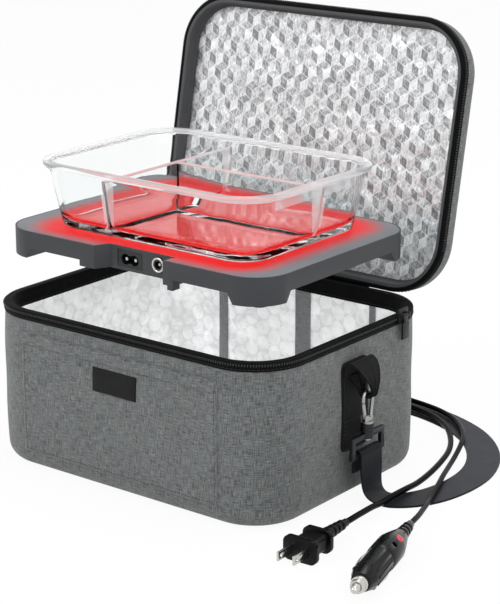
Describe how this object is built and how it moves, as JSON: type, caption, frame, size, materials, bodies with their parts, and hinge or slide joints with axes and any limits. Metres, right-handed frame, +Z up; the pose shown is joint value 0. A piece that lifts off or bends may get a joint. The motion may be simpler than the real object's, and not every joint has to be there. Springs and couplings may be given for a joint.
{
  "type": "electric lunch box",
  "caption": "Portable food warmer: a zipped insulated bag with a hinged lid, a flat heating plate with mains and 12 V sockets, and a divided glass container.",
  "frame": {"origin": "centre of the bag's flat bottom, where it rests", "axes": "+X to the bag's right, +Y to the lid's hinge, +Z up"},
  "size_m": [0.4485, 0.4654, 0.3296],
  "materials": {
    "melange_fabric": "grey melange linen-look polyester canvas",
    "black_board": "polyethylene stiffening board",
    "insulation_foam": "closed-cell foam",
    "silver_foil": "embossed aluminised foil liner",
    "grey_binding": "grey binding tape",
    "black_tape": "black woven tape",
    "zip_nylon": "nylon coil zip",
    "black_patch": "bare black label patch",
    "black_webbing": "woven black webbing",
    "black_acetal": "moulded acetal",
    "dark_metal": "gunmetal painted wire",
    "nickel_plate": "nickel plated",
    "black_metal": "black painted zinc",
    "dark_lining": "dark grey woven lining",
    "plate_coating": "grey heat-proof coating on an aluminium plate",
    "slate_plastic": "dark slate moulded plastic",
    "silicone_mat": "silicone heating mat",
    "mica": "pressed mica sheet",
    "white_ceramic": "ceramic body",
    "tinned_metal": "tinned steel",
    "black_plastic": "moulded black plastic",
    "wire_insulation": "glass-braid insulated wire",
    "black_rubber": "rubber pads",
    "clear_glass": "clear pressed borosilicate glass",
    "cord_pvc": "black PVC cord",
    "plug_pvc": "black moulded PVC",
    "car_plug_plastic": "dark grey moulded plastic",
    "red_lens": "red indicator lens"
  },
  "bodies": {
    "bag": {"bag_shell": "melange_fabric", "base_panel": "melange_fabric", "base_board": "black_board", "bag_foam": "insulation_foam", "bag_liner": "silver_foil", "liner_seam_strips": "grey_binding", "rim_band": "black_tape", "zip_teeth_bag": "zip_nylon", "hinge_tape_bag": "black_tape", "front_pocket": "melange_fabric", "label_patch": "black_patch", "side_patch_right": "black_webbing", "side_patch_left": "black_webbing", "strap_loop_right": "black_webbing", "strap_loop_left": "black_webbing", "shoulder_strap": "black_webbing", "strap_adjuster": "black_acetal", "strap_ring_right": "dark_metal", "strap_ring_left": "dark_metal", "ac_cord_run": "cord_pvc", "ac_cord_coil": "cord_pvc", "ac_plug": "plug_pvc", "ac_plug_blades": "nickel_plate", "ac_connector": "plug_pvc", "dc_cord_run": "cord_pvc", "dc_cord_coil": "cord_pvc", "car_plug_body": "car_plug_plastic", "car_plug_ring": "nickel_plate", "car_plug_springs": "nickel_plate", "car_plug_lamp": "red_lens", "dc_barrel_plug": "plug_pvc"},
    "lid": {"lid_shell": "melange_fabric", "lid_foam": "insulation_foam", "lid_liner": "silver_foil", "lid_border": "dark_lining", "lid_zip_band": "black_tape", "zip_teeth_lid": "zip_nylon", "hinge_tape_lid": "black_tape"},
    "heater": {"heater_plate": "plate_coating", "heater_housing": "slate_plastic", "heater_base_cover": "slate_plastic", "heating_mat": "silicone_mat", "mica_sheet": "mica", "thermostat": "white_ceramic", "thermal_fuse": "tinned_metal", "ac_inlet": "black_plastic", "ac_inlet_pins": "nickel_plate", "dc_jack": "black_plastic", "dc_jack_pin": "nickel_plate", "wiring": "wire_insulation", "cover_screws": "tinned_metal", "foot_pads": "black_rubber"},
    "container": {"food_container": "clear_glass"},
    "hook_right": {"hook_right": "nickel_plate"},
    "hook_left": {"hook_left": "nickel_plate"},
    "gate_right": {"hook_gate_right": "nickel_plate"},
    "gate_left": {"hook_gate_left": "nickel_plate"},
    "zip_slider": {"zip_slider": "black_metal"},
    "zip_pull": {"zip_pull": "black_metal"},
    "car_tip": {"car_plug_tip": "nickel_plate"}
  },
  "joints": [
    {"name": "lid_hinge", "type": "hinge", "parent": "bag", "child": "lid", "pos_m": [0, 0.104, 0.1245], "axis": [1, 0, 0], "range_deg": [0, 101]},
    {"name": "heater_lift", "type": "slide", "parent": "bag", "child": "heater", "axis": [0, 0, 1], "range_m": [-0.1507, 0]},
    {"name": "container_lift", "type": "slide", "parent": "heater", "child": "container", "axis": [0, 0, 1], "range_m": [0, 0.122]},
    {"name": "hook_right_swivel", "type": "hinge", "parent": "bag", "child": "hook_right", "pos_m": [0.148, -0.001, 0.055], "axis": [0, 0, 1], "range_deg": [-20, 20]},
    {"name": "hook_left_swivel", "type": "hinge", "parent": "bag", "child": "hook_left", "pos_m": [-0.148, -0.001, 0.055], "axis": [0, 0, 1], "range_deg": [-20, 20]},
    {"name": "gate_right_hinge", "type": "hinge", "parent": "hook_right", "child": "gate_right", "pos_m": [0.148, -0.0046, 0.0648], "axis": [1, 0, 0], "range_deg": [-25, 0], "stiffness_Nm_per_rad": 0.02, "springref_deg": 5.73},
    {"name": "gate_left_hinge", "type": "hinge", "parent": "hook_left", "child": "gate_left", "pos_m": [-0.148, -0.0046, 0.0648], "axis": [1, 0, 0], "range_deg": [-25, 0], "stiffness_Nm_per_rad": 0.02, "springref_deg": 5.73},
    {"name": "zip_slide", "type": "slide", "parent": "bag", "child": "zip_slider", "axis": [0, 1, 0], "range_m": [-0.115, 0]},
    {"name": "zip_pull_hinge", "type": "hinge", "parent": "zip_slider", "child": "zip_pull", "pos_m": [0.1399, 0.058, 0.125], "axis": [0, -1, 0], "range_deg": [0, 100]},
    {"name": "car_tip_slide", "type": "slide", "parent": "bag", "child": "car_tip", "axis": [-0.2672, 0.9636, 0], "range_m": [0, 0.003], "stiffness_N_per_m": 400, "springref_m": -0.002}
  ],
  "couplings": [
    {"joint": "heater_lift", "follows": "lid_hinge", "m_per_rad": -0.08549}
  ]
}
